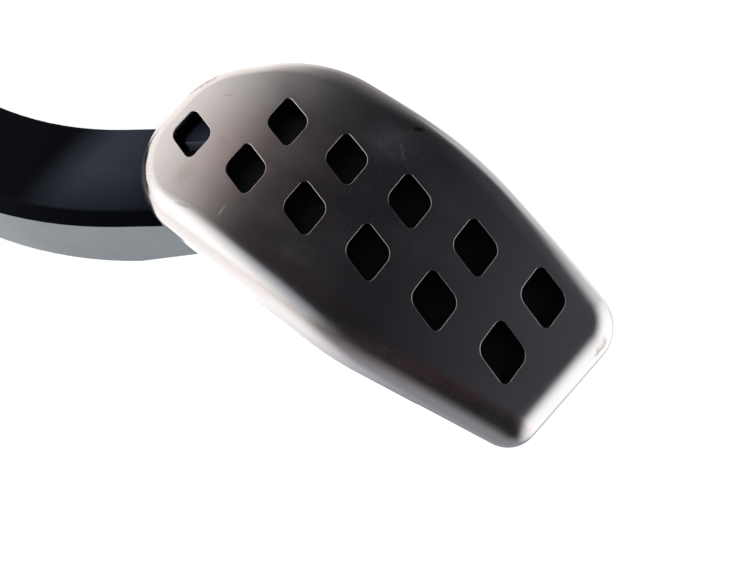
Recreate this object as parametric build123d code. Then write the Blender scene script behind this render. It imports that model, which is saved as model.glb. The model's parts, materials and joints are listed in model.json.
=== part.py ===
from build123d import *
from math import atan2, cos, degrees, radians, sin, tan
import os

# Hanging accelerator pedal with its bracket, return springs and position sensor.
# Millimetres and degrees. +Y runs forward into the bulkhead, +X to the driver's right,
# +Z up. The origin is the middle of the bolt circle, on the bulkhead face.

# Bulkhead bolts
BOLT_CIRCLE = 96.0
BOLT_COUNT = 3
BOLT_FIRST = 30.0
BOLT_HOLE = 6.6
SLEEVE_WALL = 1.7
EAR_RADIUS = 11.0
EAR_THICK = 9.0

# Bracket
BASE_THICK = 5.0
WALL = 4.0
ROOF = 3.5
INSIDE_HALF = 21.5
HOUSING_TOP = 36.0
HOUSING_FOOT = -34.0
FOOT_OUT = 16.0
REAR_WALL_END = 33.0
PROFILE_ROUND = 9.0
LIP_ROUND = 4.0
EDGE_ROUND = 1.6
GUSSET = 13.0
RIB = 3.0
RIB_STEP = 16.0

# Hinge
PIVOT_OUT = 34.0
PIVOT_UP = 6.0
LEAN = 35.0
TRAVEL = 16.0
SHAFT = 8.0
BUSH_WALL = 2.0
BUSH_FLANGE = 1.0
BUSH_COLLAR = 2.0
RUNNING_CLEAR = 0.04
END_PLAY = 0.2
DRUM_RADIUS = 16.0
DRUM_HALF = 12.0
CLIP_THICK = 1.0
CLIP_WIDTH = 4.0
CLIP_NOTCH = 1.6
CLIP_NOTCHES = 3
SHAFT_STUB = 3.0
HUB_CLEAR = 1.0

# Return springs
WIRE = 2.0
COILS = 2
COIL_PITCH = 2.4
COIL_CLEAR = 0.3
SEAT_TOUCH = 0.05
FIXED_LEG = 20.0
MOVING_LEG = 21.0

# Friction shoe on the hub drum
SHOE_CLEAR = 0.3
SHOE_THICK = 3.2
SHOE_FROM = 15.0
SHOE_TO = 75.0
SHOE_SLACK = 1.0
SHOE_EAR_LOW = 14.0
SHOE_EAR_TALL = 5.4
SHOE_EAR_DEEP = 3.5
SADDLE_RIB = 4.0
SADDLE_SPREAD = 7.0
SADDLE_REACH = 2.4

# Arm
ARM_WIDTH = 25.4
ARM_DEPTH = 20.0
ARM_DRAFT = 6.0
ARM_STRAIGHT = 56.0
ARM_BEND_RADIUS = 90.0
ARM_SPLAY = 38.0
ARM_TAIL = 50.0
ARM_WALL = 3.0
ARM_SKIN = 3.2
BEVEL_WIDE = 4.2
BEVEL_DEEP = 1.8
HOLLOW_FROM = 27.0
ARM_RIB = 2.2
ARM_RIB_COUNT = 9
ARM_RIB_ANGLE = 48.0
ARM_RIB_DROP = 2.0
TAIL_END_DEEP = 9.0

# Pad outline, measured from the middle of the hole pattern
PAD_SHIFT = -6.8
PAD_DROP = 24.3
PAD_TOP = 63.5
PAD_LEFT_TOP = 27.4
PAD_LEFT = 28.6
PAD_PEAK_RIGHT = 9.4
PAD_RIGHT = 28.3
PAD_SHOULDER_HEIGHT = 40.4
PAD_HIP = 28.0
PAD_HIP_HEIGHT = -2.0
PAD_FOOT_RIGHT = 15.2
PAD_FOOT_LEFT = 21.5
PAD_FOOT = 52.8
PAD_FOOT_SLOPE = 3.5
PAD_WAIST_HEIGHT = -5.0
TOP_LEFT_ROUND = 20.0
PEAK_ROUND = 20.0
SHOULDER_ROUND = 36.0
HIP_ROUND = 120.0
WAIST_ROUND = 80.0
FOOT_RIGHT_ROUND = 10.0
FOOT_LEFT_ROUND = 7.0

# Pad section
PAD_DEPTH = 14.0
FACE_RADIUS = 255.0
CROWN_RADIUS = 900.0
PAD_ROLL = 5.5
SHEET = 1.0
TAB_STEP = 1.2
TAB_REACH = 6.0
TAB_LOW = -27.0
TAB_HIGH = 17.0
END_TAB = 18.0

# Holes through the steel face
HOLE_PITCH = 17.5
HOLE_ROWS_UP = 3
HOLE_ROWS_DOWN = 2
COLUMN_GAP = 14.75
HOLE_WIDE = 8.6
HOLE_TALL = 9.25
HOLE_LEAN = 17.0
HOLE_SHARP_ROUND = 1.3
HOLE_BLUNT_ROUND = 3.3

# Carrier behind the steel
CELL_DEPTH = 3.0
CELL_MARGIN = 6.5
CELL_RIB = 2.2
RELIEF_DEPTH = 9.0
RELIEF_TURN = 35.0
PADDLE_THICK = 4.0
PADDLE_INSET = 5.5
PADDLE_RIB = 2.5
PADDLE_RIB_TALL = 6.0
PADDLE_RIB_HALF = 9.0

# Screws
SCREW = 3.5
SCREW_HEAD = 7.0
SCREW_HEAD_TALL = 2.4
SCREW_SOCKET = 3.0
SCREW_SOCKET_DEEP = 1.3
SCREW_CLEAR = 0.25
PAD_SCREW_GRIP = 6.0
PAD_SCREWS = ((16.5, 19.0), (-14.0, -4.0), (4.0, -38.0))

# Rubber stops
STOP_THICK = 3.2
STOP_TOUCH = 0.1
IDLE_STOP_AT = 24.5
IDLE_STOP_RADIUS = 6.0
STEM_RADIUS = 2.5
STEM_HEAD = 3.5
STEM_HEAD_TALL = 1.8
FULL_STOP_AT = 27.0
FULL_STOP_TALL = 7.0
FULL_STOP_HALF = 16.0

# Position sensor on the left wall
CASE_SQUARE = 44.0
CASE_CORNER = 5.0
CASE_FLANGE = 3.0
CASE_RADIUS = 20.0
CASE_WALL = 2.5
CASE_DEEP = 18.5
CASE_SCREW_AT = 17.0
SEAL_INNER = 18.6
SEAL_WIDE = 1.6
SEAL_DEEP = 1.2
HOLDER_RADIUS = 7.0
HOLDER_GAP = 0.7
HOLDER_LONG = 8.0
MAGNET_RADIUS = 5.0
MAGNET_THICK = 2.5
AIR_GAP = 2.0
CHIP_THICK = 1.4
CHIP_WIDE = 5.0
CHIP_TALL = 4.0
BOARD_THICK = 1.6
BOARD_WIDE = 22.0
BOARD_TALL = 26.0
BOARD_CORNER = 2.0
POST_RADIUS = 1.8

# Connector socket on top of the sensor case
SOCKET_WIDE = 26.0
SOCKET_DEEP = 13.6
SOCKET_WALL = 1.8
SOCKET_ROUND = 3.0
SOCKET_FLOOR = 22.0
SOCKET_TOP = 37.0
PIN = 0.8
PIN_COUNT = 6
PIN_PITCH = 3.2
PIN_LOW = 7.0
PIN_HIGH = 30.0
LATCH_WIDE = 6.0
LATCH_OUT = 1.8
LATCH_TALL = 4.0

# Sizes that follow from those above
OUTSIDE_HALF = INSIDE_HALF + WALL
SHAFT_RADIUS = SHAFT / 2
BUSH_RADIUS = SHAFT_RADIUS + RUNNING_CLEAR + BUSH_WALL
SLEEVE_END = INSIDE_HALF - BUSH_FLANGE - END_PLAY
COIL_RADIUS = ARM_DEPTH / 2 + SEAT_TOUCH + WIRE / 2
COIL_OUTER = SLEEVE_END - COIL_CLEAR - WIRE / 2
HUB_SLEEVE = COIL_RADIUS - WIRE / 2 - COIL_CLEAR
ARM_START = COIL_RADIUS + WIRE / 2 + COIL_CLEAR
SHOE_INNER = DRUM_RADIUS + SHOE_CLEAR
SHOE_OUTER = SHOE_INNER + SHOE_THICK
SHOE_HALF = DRUM_HALF + SHOE_CLEAR
REAR_INSIDE = DRUM_RADIUS + HUB_CLEAR
REAR_OUTSIDE = REAR_INSIDE + ROOF
ARM_BACK_WIDTH = ARM_WIDTH + 2 * (ARM_DEPTH - BEVEL_DEEP) * tan(radians(ARM_DRAFT))
BEVEL_ANGLE = degrees(atan2(BEVEL_WIDE, BEVEL_DEEP))
BEND_ACROSS = ARM_BEND_RADIUS * (1 - cos(radians(ARM_SPLAY)))
BEND_DOWN = ARM_BEND_RADIUS * sin(radians(ARM_SPLAY))
TAIL_X = BEND_ACROSS + ARM_TAIL * sin(radians(ARM_SPLAY))
TAIL_Y = -ARM_STRAIGHT - BEND_DOWN - ARM_TAIL * cos(radians(ARM_SPLAY))
PAD_X = TAIL_X + PAD_SHIFT
PAD_Y = TAIL_Y - PAD_DROP
PAD_Z = ARM_DEPTH / 2 + PAD_DEPTH
CHIP_FACE = HOLDER_GAP + HOLDER_LONG + AIR_GAP
BOARD_FACE = CHIP_FACE + CHIP_THICK
SHAFT_END = HOLDER_GAP + HOLDER_LONG - MAGNET_THICK - HOLDER_GAP
SOCKET_MIDDLE = CASE_DEEP - SOCKET_DEEP / 2
FAR = 200.0

# Pedal frames at rest and fully pressed: x to the right, y up the arm, z to the driver
PIVOT = Vector(0, -PIVOT_OUT, PIVOT_UP)


def pedal_plane(pressed):
    lean = radians(LEAN - pressed)
    return Plane(origin=PIVOT, x_dir=(1, 0, 0), z_dir=(0, -cos(lean), sin(lean)))


REST = pedal_plane(0).location
PRESSED = pedal_plane(TRAVEL).location
PAD = Pos(PAD_X, PAD_Y, PAD_Z)
CASE = Plane(origin=PIVOT - Vector(OUTSIDE_HALF, 0, 0), x_dir=(0, -1, 0), z_dir=(-1, 0, 0)).location
ACROSS = Plane.YZ.location


def side_point(along, out):
    """Bracket side-view point, given down the arm from the pivot and out to the driver."""
    lean = radians(LEAN)
    y = PIVOT.Y - along * sin(lean) - out * cos(lean)
    z = PIVOT.Z - along * cos(lean) + out * sin(lean)
    return (y, z)


def rear_line_at(height, out):
    """Point where a line along the arm, out from the pivot, reaches a height."""
    lean = radians(LEAN)
    along = (PIVOT.Z + out * sin(lean) - height) / cos(lean)
    return side_point(along, out)


def bar(radius, start, end):
    """Round bar along X."""
    return Pos((start + end) / 2, 0, 0) * Rot(0, 90, 0) * Cylinder(radius, end - start)


def block(x0, x1, y0, y1, z0, z1):
    """Box between two corners."""
    middle = Pos((x0 + x1) / 2, (y0 + y1) / 2, (z0 + z1) / 2)
    return middle * Box(x1 - x0, y1 - y0, z1 - z0)


def slab(sketch, low, high):
    """Sketch on the XY plane made solid between two heights."""
    return extrude(Pos(0, 0, low) * sketch, amount=high - low, dir=(0, 0, 1))


def bolt_spots():
    """Bolt centres on the bulkhead face, as x and z."""
    spots = []
    for index in range(BOLT_COUNT):
        angle = radians(BOLT_FIRST + 360 / BOLT_COUNT * index)
        spots.append((BOLT_CIRCLE / 2 * cos(angle), BOLT_CIRCLE / 2 * sin(angle)))
    return spots


def screw(length):
    """Pan-head screw pointing down -Z with its head's underside at z = 0."""
    head = Pos(0, 0, SCREW_HEAD_TALL / 2) * Cylinder(SCREW_HEAD / 2, SCREW_HEAD_TALL)
    head = fillet(head.edges().sort_by(Axis.Z)[-1], SCREW_HEAD_TALL / 2)
    socket = RegularPolygon(SCREW_SOCKET / 2, 6)
    head -= slab(socket, SCREW_HEAD_TALL - SCREW_SOCKET_DEEP, SCREW_HEAD_TALL)
    shank = Pos(0, 0, -length / 2) * Cylinder(SCREW / 2, length)
    tip = shank.edges().sort_by(Axis.Z)[0]
    return head + chamfer(tip, SCREW / 8)


def shoe_sector(inner, outer, extra):
    """Ring sector ahead of the drum, in the pedal's side view (y up, z to the driver)."""
    first = radians(SHOE_FROM - extra)
    last = radians(SHOE_TO + extra)
    middle = (first + last) / 2
    corners = [(0, 0)]
    for angle in (first, middle, last):
        corners.append((FAR * cos(angle), -FAR * sin(angle)))
    wedge = make_face(Polyline(*corners, close=True))
    return (Circle(outer) - Circle(inner)) & wedge


def pad_face(inset):
    """Pad outline in the driver's view, drawn in by an inset."""
    corners = [
        (-PAD_LEFT_TOP, PAD_TOP),
        (-PAD_LEFT, PAD_WAIST_HEIGHT),
        (-PAD_FOOT_LEFT, -PAD_FOOT + PAD_FOOT_SLOPE),
        (PAD_FOOT_RIGHT, -PAD_FOOT),
        (PAD_HIP, PAD_HIP_HEIGHT),
        (PAD_RIGHT, PAD_SHOULDER_HEIGHT),
        (PAD_PEAK_RIGHT, PAD_TOP),
    ]
    rounds = [
        TOP_LEFT_ROUND,
        WAIST_ROUND,
        FOOT_LEFT_ROUND,
        FOOT_RIGHT_ROUND,
        HIP_ROUND,
        SHOULDER_ROUND,
        PEAK_ROUND,
    ]
    outline = make_face(FilletPolyline(*corners, radius=rounds, close=True))
    return offset(outline, -inset) if inset else outline


def crown(drop):
    """Ring whose outer skin is the pad's doubly curved face, lowered by a drop."""
    reach = PAD_LEFT + PAD_RIGHT
    fall = reach**2 / (2 * CROWN_RADIUS)
    top = FACE_RADIUS - drop
    low = FACE_RADIUS - FAR
    skin = ThreePointArc((-reach, top - fall), (0, top), (reach, top - fall))
    sides = Polyline((reach, top - fall), (reach, low), (-reach, low), (-reach, top - fall))
    ring = revolve(make_face(skin + sides), Axis.X)
    return Pos(0, 0, -FACE_RADIUS) * ring


def pad_form(inset):
    """Solid pad with crowned face and rolled edge, drawn in by an inset."""
    form = slab(pad_face(inset), -PAD_DEPTH, PAD_ROLL) & crown(inset)
    rim = form.faces().sort_by(Axis.Z)[-1].edges()
    return fillet(rim, PAD_ROLL - inset)


def hole_shape():
    """One leaning hole, rounded little at its sharp corners and more at its blunt ones."""
    shift = HOLE_TALL / 2 * tan(radians(HOLE_LEAN))
    half = HOLE_WIDE / 2
    tall = HOLE_TALL / 2
    corners = [(-half - shift, -tall), (half - shift, -tall), (half + shift, tall), (-half + shift, tall)]
    rounds = [HOLE_SHARP_ROUND, HOLE_BLUNT_ROUND, HOLE_SHARP_ROUND, HOLE_BLUNT_ROUND]
    return make_face(FilletPolyline(*corners, radius=rounds, close=True))


def hole_spots():
    """Hole centres: the left column has one more hole at the top than the right."""
    spots = []
    for row in range(-HOLE_ROWS_DOWN, HOLE_ROWS_UP + 1):
        spots.append((-COLUMN_GAP / 2, row * HOLE_PITCH))
        if row < HOLE_ROWS_UP:
            spots.append((COLUMN_GAP / 2, row * HOLE_PITCH))
    return spots


def tab_windows(low, high):
    """Boxes that mark where the skirt is left long and folded under."""
    left = block(-FAR, 0, TAB_LOW, TAB_HIGH, low, high)
    right = block(0, FAR, TAB_LOW, TAB_HIGH, low, high)
    top = block(-END_TAB, 0, 0, FAR, low, high)
    foot = block(-END_TAB / 2, END_TAB / 2, -FAR, 0, low, high)
    return left + right + top + foot


def make_tabs():
    """Folded tabs under the carrier."""
    border = pad_face(0) - pad_face(TAB_REACH)
    ring = slab(border, -PAD_DEPTH, -PAD_DEPTH + SHEET)
    return ring & tab_windows(-PAD_DEPTH, -PAD_DEPTH + SHEET)


def make_pad_cover():
    shell = pad_form(0) - pad_form(SHEET)
    spare = slab(pad_face(-SHEET), -PAD_DEPTH, -PAD_DEPTH + TAB_STEP)
    shell -= spare - tab_windows(-PAD_DEPTH, -PAD_DEPTH + TAB_STEP)
    shell += make_tabs()
    for spot in hole_spots():
        shell -= Pos(*spot) * slab(hole_shape(), -PAD_DEPTH + 2 * SHEET, PAD_ROLL)
    return shell


def corner_relief():
    """Deeper pocket beyond a slanting line through the top hole."""
    spot = Pos(-COLUMN_GAP / 2, HOLE_ROWS_UP * HOLE_PITCH, 0) * Rot(0, 0, RELIEF_TURN)
    beyond = spot * block(-FAR, 0, -FAR, FAR, -FAR, FAR)
    corner = slab(pad_face(CELL_MARGIN), -PAD_DEPTH, PAD_ROLL) - crown(SHEET + RELIEF_DEPTH)
    row_end = (HOLE_ROWS_UP - 0.5) * HOLE_PITCH + CELL_RIB / 2
    return corner & beyond & block(-FAR, -CELL_RIB / 2, row_end, FAR, -FAR, FAR)


def make_pad_carrier():
    carrier = pad_form(SHEET) - make_tabs()
    cells = slab(pad_face(CELL_MARGIN), -PAD_DEPTH, PAD_ROLL) - crown(SHEET + CELL_DEPTH)
    cells -= block(-CELL_RIB / 2, CELL_RIB / 2, -FAR, FAR, -PAD_DEPTH, PAD_ROLL)
    for row in range(-HOLE_ROWS_DOWN, HOLE_ROWS_UP):
        low = (row + 0.5) * HOLE_PITCH - CELL_RIB / 2
        cells -= block(-FAR, FAR, low, low + CELL_RIB, -PAD_DEPTH, PAD_ROLL)
    carrier -= cells
    carrier -= corner_relief()
    for spot in PAD_SCREWS:
        carrier -= Pos(*spot) * slab(Circle(SCREW / 2), -PAD_DEPTH, -PAD_DEPTH + PAD_SCREW_GRIP)
    return carrier


def make_pad_screws():
    seat = -PAD_DEPTH - PADDLE_THICK
    screws = []
    for spot in PAD_SCREWS:
        screws.append(Pos(*spot, seat) * Rot(180, 0, 0) * screw(PADDLE_THICK + PAD_SCREW_GRIP))
    return screws


def arm_path(start, short, aside=0):
    """Line along the arm in the driver's view, stopping short of its end and set aside to the right."""
    upper = Line((aside, -start), (aside, -ARM_STRAIGHT))
    centre = (ARM_BEND_RADIUS, -ARM_STRAIGHT)
    bend = CenterArc(centre, ARM_BEND_RADIUS - aside, 180, ARM_SPLAY)
    tail = Line(bend @ 1, bend @ 1 + (bend % 1) * (ARM_TAIL - short))
    return Wire([upper, bend, tail])


def tail_cut():
    """Wedge off the back of the arm, so that it thins towards its end under the pad."""
    fall = degrees(atan2(ARM_DEPTH - TAIL_END_DEEP, ARM_TAIL))
    wedge = Rot(-fall, 0, 0) * block(-FAR, FAR, -FAR, 0, -FAR, 0)
    start = arm_path(ARM_START, 0) @ 1 - (arm_path(ARM_START, 0) % 1) * ARM_TAIL
    return Pos(start.X, start.Y, -ARM_DEPTH / 2) * Rot(0, 0, ARM_SPLAY) * wedge


def paddle_ribs():
    """Ribs down the back of the paddle, tallest at the arm's end."""
    back = ARM_DEPTH / 2 - PADDLE_THICK
    foot = PAD_Y - PAD_FOOT + PAD_FOOT_SLOPE + PADDLE_INSET
    head = TAIL_Y + PAD_DROP
    side = Polyline((head, back), (foot, back), (TAIL_Y, back - PADDLE_RIB_TALL), close=True)
    plate = extrude(ACROSS * make_face(side), amount=PADDLE_RIB / 2, both=True)
    return Pos(PAD_X - PADDLE_RIB_HALF, 0, 0) * plate + Pos(PAD_X + PADDLE_RIB_HALF, 0, 0) * plate


def arm_hollow():
    """Channel in the back of the arm, less the slanting ribs left across it."""
    floor = ARM_DEPTH / 2 - ARM_SKIN
    strip = trace(arm_path(HOLLOW_FROM, ARM_WALL), ARM_BACK_WIDTH - 2 * ARM_WALL)
    hollow = extrude(Pos(0, 0, -ARM_DEPTH / 2) * strip, amount=floor + ARM_DEPTH / 2, taper=ARM_DRAFT)
    path = arm_path(HOLLOW_FROM, ARM_WALL)
    for index in range(ARM_RIB_COUNT):
        place = (index + 0.5) / ARM_RIB_COUNT
        spot = path @ place
        run = path % place
        slant = ARM_RIB_ANGLE if index % 2 else -ARM_RIB_ANGLE
        turn = degrees(atan2(run.Y, run.X)) + slant
        rib = Pos(spot.X, spot.Y) * Rot(0, 0, turn) * Rectangle(3 * ARM_WIDTH, ARM_RIB)
        hollow -= slab(rib, -ARM_DEPTH / 2 + ARM_RIB_DROP, floor)
    return hollow


def make_pedal_arm():
    shoulder = ARM_DEPTH / 2 - BEVEL_DEEP
    strip = trace(arm_path(ARM_START, 0), ARM_BACK_WIDTH)
    arm = extrude(Pos(0, 0, -ARM_DEPTH / 2) * strip, amount=ARM_DEPTH - BEVEL_DEEP, taper=ARM_DRAFT)
    top_strip = trace(arm_path(SHAFT_RADIUS, 0), ARM_WIDTH)
    arm += extrude(Pos(0, 0, shoulder) * top_strip, amount=BEVEL_DEEP, taper=BEVEL_ANGLE)
    square_strip = trace(arm_path(SHAFT_RADIUS, 0, ARM_WIDTH / 4), ARM_WIDTH / 2)
    arm += extrude(Pos(0, 0, shoulder) * square_strip, amount=BEVEL_DEEP, taper=ARM_DRAFT)
    paddle = PAD * slab(pad_face(PADDLE_INSET), -PAD_DEPTH - PADDLE_THICK, -PAD_DEPTH)
    paddle += paddle_ribs()
    arm = arm - tail_cut() + paddle - arm_hollow()
    arm += bar(DRUM_RADIUS, -DRUM_HALF, DRUM_HALF)
    arm += bar(HUB_SLEEVE, -SLEEVE_END, SLEEVE_END)
    arm -= bar(SHAFT_RADIUS, -SLEEVE_END, SLEEVE_END)
    for spot in PAD_SCREWS:
        hole = slab(Circle(SCREW / 2 + SCREW_CLEAR), -PAD_DEPTH - PADDLE_THICK, -PAD_DEPTH)
        arm -= PAD * Pos(*spot) * hole
    return arm


def make_spring():
    """Right-hand return spring: upper leg on the shoe, coils round the hub, lower leg on the arm."""
    coil = Helix(COIL_PITCH, COILS * COIL_PITCH, COIL_RADIUS)
    upper = Line(coil @ 0 - (coil % 0) * FIXED_LEG, coil @ 0)
    lower = Line(coil @ 1, coil @ 1 + (coil % 1) * MOVING_LEG)
    path = Wire([upper, coil, lower])
    section = Plane(origin=path @ 0, z_dir=path % 0) * Circle(WIRE / 2)
    wire = sweep(section, path=path)
    frame = Plane(origin=(COIL_OUTER, 0, 0), x_dir=(0, 0, -1), z_dir=(-1, 0, 0))
    return frame.location * wire


def make_shoe():
    shoe = extrude(ACROSS * shoe_sector(SHOE_INNER, SHOE_OUTER, 0), amount=SHOE_HALF, both=True)
    front = -(COIL_RADIUS - WIRE / 2 - SEAT_TOUCH)
    top = SHOE_EAR_LOW + SHOE_EAR_TALL
    ear = block(SHOE_HALF, SLEEVE_END, SHOE_EAR_LOW, top, front, front + SHOE_EAR_DEEP)
    return shoe + ear + mirror(ear, Plane.YZ)


def make_pivot_shaft():
    shaft = bar(SHAFT_RADIUS, -OUTSIDE_HALF - SHAFT_END, OUTSIDE_HALF + SHAFT_STUB)
    ends = shaft.edges().filter_by(GeomType.CIRCLE)
    return chamfer(ends, SHAFT / 16)


def make_shaft_clip():
    start = OUTSIDE_HALF + END_PLAY
    clip = bar(SHAFT_RADIUS + CLIP_WIDTH, start, start + CLIP_THICK)
    reach = SHAFT_RADIUS + CLIP_WIDTH / 2
    notch = block(start, start + CLIP_THICK, 0, reach, -CLIP_NOTCH / 2, CLIP_NOTCH / 2)
    for index in range(CLIP_NOTCHES):
        clip -= Rot(360 / CLIP_NOTCHES * index, 0, 0) * notch
    return clip - bar(SHAFT_RADIUS, start, start + CLIP_THICK)


def make_bush():
    """Flanged bush in the right wall."""
    bush = bar(BUSH_RADIUS, INSIDE_HALF, OUTSIDE_HALF)
    bush += bar(BUSH_RADIUS + BUSH_COLLAR, INSIDE_HALF - BUSH_FLANGE, INSIDE_HALF)
    return bush - bar(SHAFT_RADIUS + RUNNING_CLEAR, INSIDE_HALF - BUSH_FLANGE, OUTSIDE_HALF)


def make_idle_bumper():
    spot = Pos(0, -IDLE_STOP_AT, 0)
    disc = slab(Circle(IDLE_STOP_RADIUS), ARM_DEPTH / 2 + STOP_TOUCH, REAR_INSIDE)
    disc = fillet(disc.edges().sort_by(Axis.Z)[0], STOP_THICK / 4)
    stem = slab(Circle(STEM_RADIUS), REAR_INSIDE, REAR_OUTSIDE)
    head = slab(Circle(STEM_HEAD), REAR_OUTSIDE, REAR_OUTSIDE + STEM_HEAD_TALL)
    head = fillet(head.edges().sort_by(Axis.Z)[-1], STEM_HEAD_TALL / 2)
    return spot * (disc + stem + head)


def make_full_stop_bumper():
    top = -ARM_DEPTH / 2 - STOP_TOUCH
    low = -FULL_STOP_AT - FULL_STOP_TALL / 2
    strip = block(-FULL_STOP_HALF, FULL_STOP_HALF, low, low + FULL_STOP_TALL, top - STOP_THICK, top)
    corners = strip.faces().sort_by(Axis.Z)[-1].edges()
    return fillet(corners, STOP_THICK / 4)


def make_mounting_sleeves():
    sleeves = []
    for x, z in bolt_spots():
        ring = Circle(BOLT_HOLE / 2 + SLEEVE_WALL) - Circle(BOLT_HOLE / 2)
        sleeves.append(extrude(Plane.XZ.location * Pos(x, z) * ring, amount=EAR_THICK))
    return sleeves


def bracket_profile():
    """Side view of the bracket's outside."""
    corners = [
        (0, HOUSING_TOP),
        rear_line_at(HOUSING_TOP, REAR_OUTSIDE),
        side_point(REAR_WALL_END, REAR_OUTSIDE),
        (-FOOT_OUT, HOUSING_FOOT),
        (0, HOUSING_FOOT),
    ]
    rounds = [0, PROFILE_ROUND, LIP_ROUND, PROFILE_ROUND, 0]
    return make_face(FilletPolyline(*corners, radius=rounds, close=True))


def bracket_cavity():
    """Side view of the space inside, open below."""
    roof = HOUSING_TOP - ROOF
    corners = [
        (-BASE_THICK, roof),
        rear_line_at(roof, REAR_INSIDE),
        side_point(FAR, REAR_INSIDE),
        (-BASE_THICK, side_point(FAR, REAR_INSIDE)[1]),
    ]
    rounds = [0, PROFILE_ROUND - ROOF, 0, 0]
    return make_face(FilletPolyline(*corners, radius=rounds, close=True))


def bracket_base():
    """Flange on the bulkhead with three ears."""
    face = Plane.XZ.location
    rings = [Pos(x, z) * Circle(EAR_RADIUS) for x, z in bolt_spots()]
    hull = make_hull([edge for ring in rings for edge in ring.edges()])
    base = extrude(face * hull, amount=BASE_THICK)
    for ring in rings:
        base += extrude(face * ring, amount=EAR_THICK)
    return base


def ear_gussets():
    """Webs between the walls and the upper ears."""
    web = Polyline((0, 0), (GUSSET, 0), (0, GUSSET), close=True)
    spots = [spot for spot in bolt_spots() if spot[1] > 0]
    webs = []
    for x, z in spots:
        hand = 1 if x > 0 else -1
        plate = slab(make_face(web), -RIB / 2, RIB / 2)
        plate = plate if hand > 0 else mirror(plate, Plane.YZ)
        level = z + EAR_RADIUS - RIB / 2
        webs.append(Pos(hand * OUTSIDE_HALF, -BASE_THICK, level) * mirror(plate, Plane.XZ))
    return webs


def wall_ribs():
    """Ribs from the hinge to the flange on the right wall."""
    ribs = []
    outer = OUTSIDE_HALF + RIB
    for rise in (-RIB_STEP, 0, RIB_STEP):
        low = PIVOT.Z + rise - RIB / 2
        ribs.append(block(OUTSIDE_HALF, outer, PIVOT.Y / 2, -BASE_THICK, low, low + RIB))
    return ribs


def full_stop_boss():
    """Strut from the flange that carries the full-travel stop."""
    top = -ARM_DEPTH / 2 - STOP_TOUCH - STOP_THICK
    low = -FULL_STOP_AT - FULL_STOP_TALL / 2
    strut = block(-FULL_STOP_HALF, FULL_STOP_HALF, low, low + FULL_STOP_TALL, top - FAR, top)
    return (PRESSED * strut) & block(-FAR, FAR, -FAR, -BASE_THICK / 2, -FAR, FAR)


def shoe_saddle():
    """Ribs on the flange that back the friction shoe and hook round its ends."""
    plate = REST * ACROSS * shoe_sector(DRUM_RADIUS + 2 * SHOE_CLEAR, FAR, SHOE_FROM)
    seat = REST * ACROSS * shoe_sector(SHAFT_RADIUS, SHOE_OUTER, SHOE_SLACK)
    limit = SHOE_OUTER + SADDLE_REACH
    room = block(-FAR, FAR, PIVOT.Y, -BASE_THICK / 2, PIVOT.Z - limit, PIVOT.Z + limit)
    ribs = []
    for x in (-SADDLE_SPREAD, SADDLE_SPREAD):
        rib = extrude(Pos(x - SADDLE_RIB / 2, 0, 0) * plate, amount=SADDLE_RIB, dir=(1, 0, 0))
        rib -= extrude(Pos(x - SADDLE_RIB / 2, 0, 0) * seat, amount=SADDLE_RIB, dir=(1, 0, 0))
        ribs.append(rib & room)
    return ribs


def make_housing():
    box = extrude(ACROSS * bracket_profile(), amount=OUTSIDE_HALF, both=True)
    sides = box.faces().sort_by(Axis.X)
    rims = [e for e in sides[0].edges() + sides[-1].edges() if e.center().Y < -EDGE_ROUND]
    box = fillet(rims, EDGE_ROUND)
    housing = box + bracket_base()
    seat = CASE * slab(RectangleRounded(CASE_SQUARE, CASE_SQUARE, CASE_CORNER), -WALL, 0)
    housing += seat
    for web in ear_gussets() + wall_ribs():
        housing += web
    housing -= extrude(ACROSS * bracket_cavity(), amount=INSIDE_HALF, both=True)
    for rib in shoe_saddle():
        housing += rib
    housing += full_stop_boss()
    housing -= Pos(PIVOT) * bar(BUSH_RADIUS, -FAR, FAR)
    housing -= REST * Pos(0, -IDLE_STOP_AT, 0) * slab(Circle(STEM_RADIUS), REAR_INSIDE, REAR_OUTSIDE)
    for x, z in bolt_spots():
        hole = Circle(BOLT_HOLE / 2 + SLEEVE_WALL)
        housing -= extrude(Plane.XZ.location * Pos(x, z) * hole, amount=EAR_THICK)
    for spot in case_screw_spots():
        housing -= CASE * Pos(*spot) * slab(Circle(SCREW / 2), -WALL, 0)
    return housing


def case_screw_spots():
    """Corners of the sensor case flange."""
    return [(x, y) for x in (-CASE_SCREW_AT, CASE_SCREW_AT) for y in (-CASE_SCREW_AT, CASE_SCREW_AT)]


def pin_spots():
    """Sideways places of the connector pins."""
    return [(index - (PIN_COUNT - 1) / 2) * PIN_PITCH for index in range(PIN_COUNT)]


def upright(sketch, low, high):
    """Sketch across the socket, made solid up the sensor case between two heights."""
    return Pos(0, low, SOCKET_MIDDLE) * Rot(-90, 0, 0) * slab(sketch, 0, high - low)


def make_pins():
    pins = []
    for x in pin_spots():
        pins.append(block(x - PIN / 2, x + PIN / 2, PIN_LOW, PIN_HIGH, BOARD_FACE - PIN, BOARD_FACE))
    return pins


def board_spots():
    """Posts near the board's corners."""
    x = BOARD_WIDE / 2 - 2 * POST_RADIUS
    y = BOARD_TALL / 2 - 2 * POST_RADIUS
    return [(-x, -y), (x, -y), (-x, y), (x, y)]


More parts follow.
